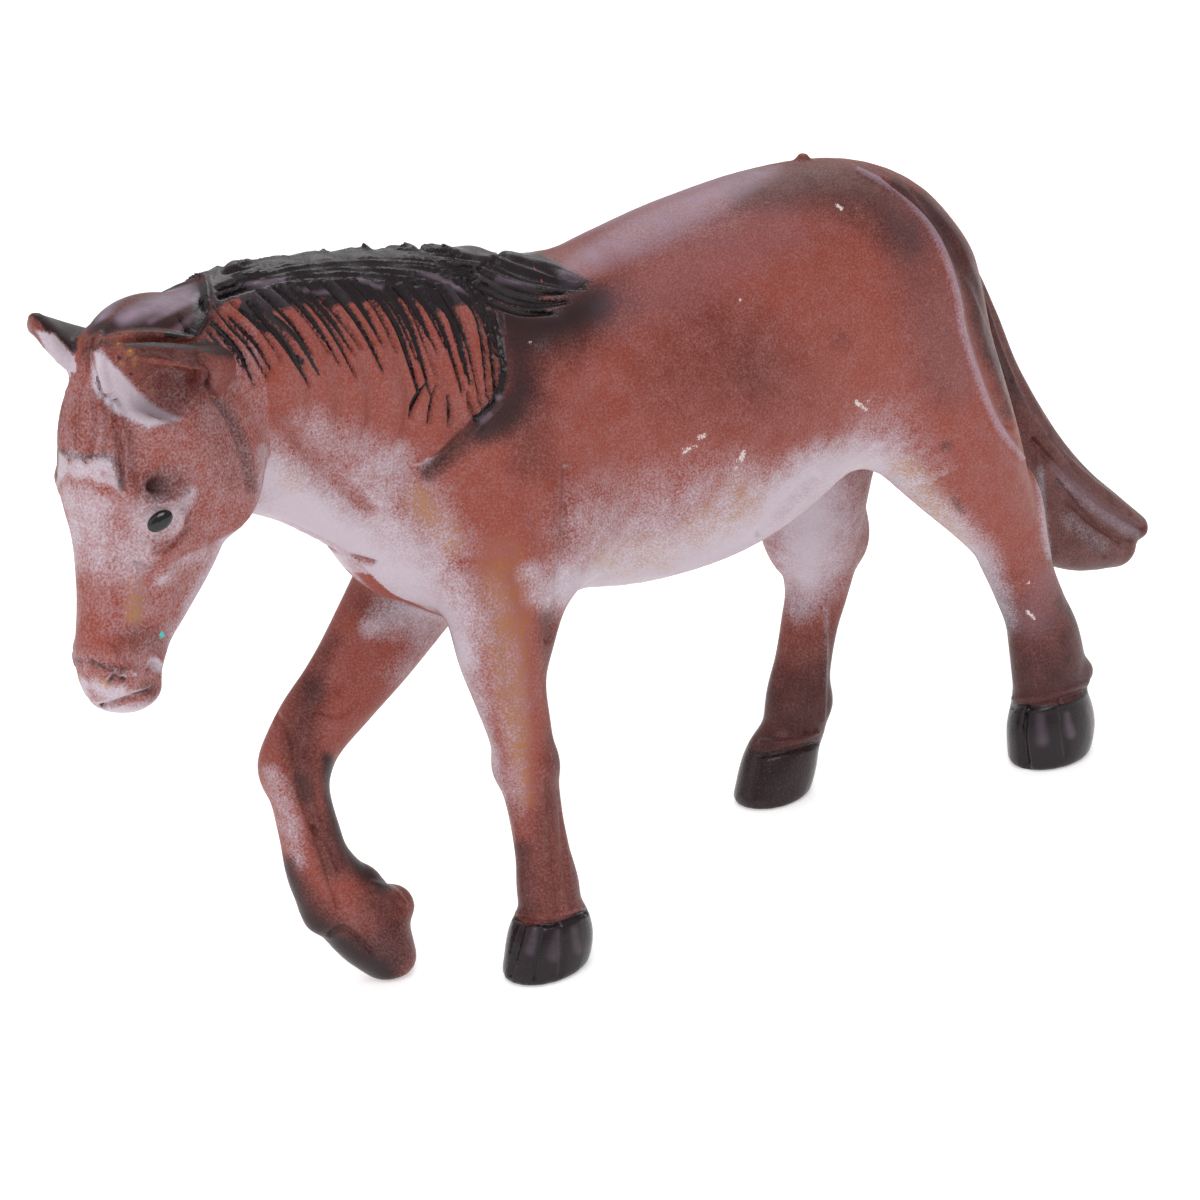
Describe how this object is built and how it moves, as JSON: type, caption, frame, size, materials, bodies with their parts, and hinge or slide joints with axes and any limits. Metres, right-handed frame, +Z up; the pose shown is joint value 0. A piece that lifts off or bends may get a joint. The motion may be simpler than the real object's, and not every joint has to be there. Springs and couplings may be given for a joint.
{
  "type": "toy horse figure",
  "caption": "Small moulded plastic horse that stands on its hooves in a walking pose, head lowered and turned, with a painted coat, mane and tail.",
  "frame": {"origin": "on the ground under the middle of the figure's bounding box", "axes": "+Z up, the horse faces -X, and its left side is -Y"},
  "size_m": [0.157, 0.0366, 0.0854],
  "materials": {
    "coat_paint": "red-brown speckled spray over pale lilac-white soft plastic, satin",
    "ear_paint": "dark brown brushed paint with bare pale plastic inside the ear",
    "leg_paint": "red-brown spray that darkens towards a glossy black-brown hoof",
    "tail_paint": "dark red-brown spray over sculpted strands",
    "eye_paint": "glossy black dab with a thin white edge"
  },
  "bodies": {
    "root": {"body_left_shell": "coat_paint", "body_right_shell": "coat_paint", "neck": "coat_paint", "head": "coat_paint", "left_ear": "ear_paint", "right_ear": "ear_paint", "left_fore_leg": "leg_paint", "right_fore_leg": "leg_paint", "left_hind_leg": "leg_paint", "right_hind_leg": "leg_paint", "tail": "tail_paint"}
  },
  "joints": []
}
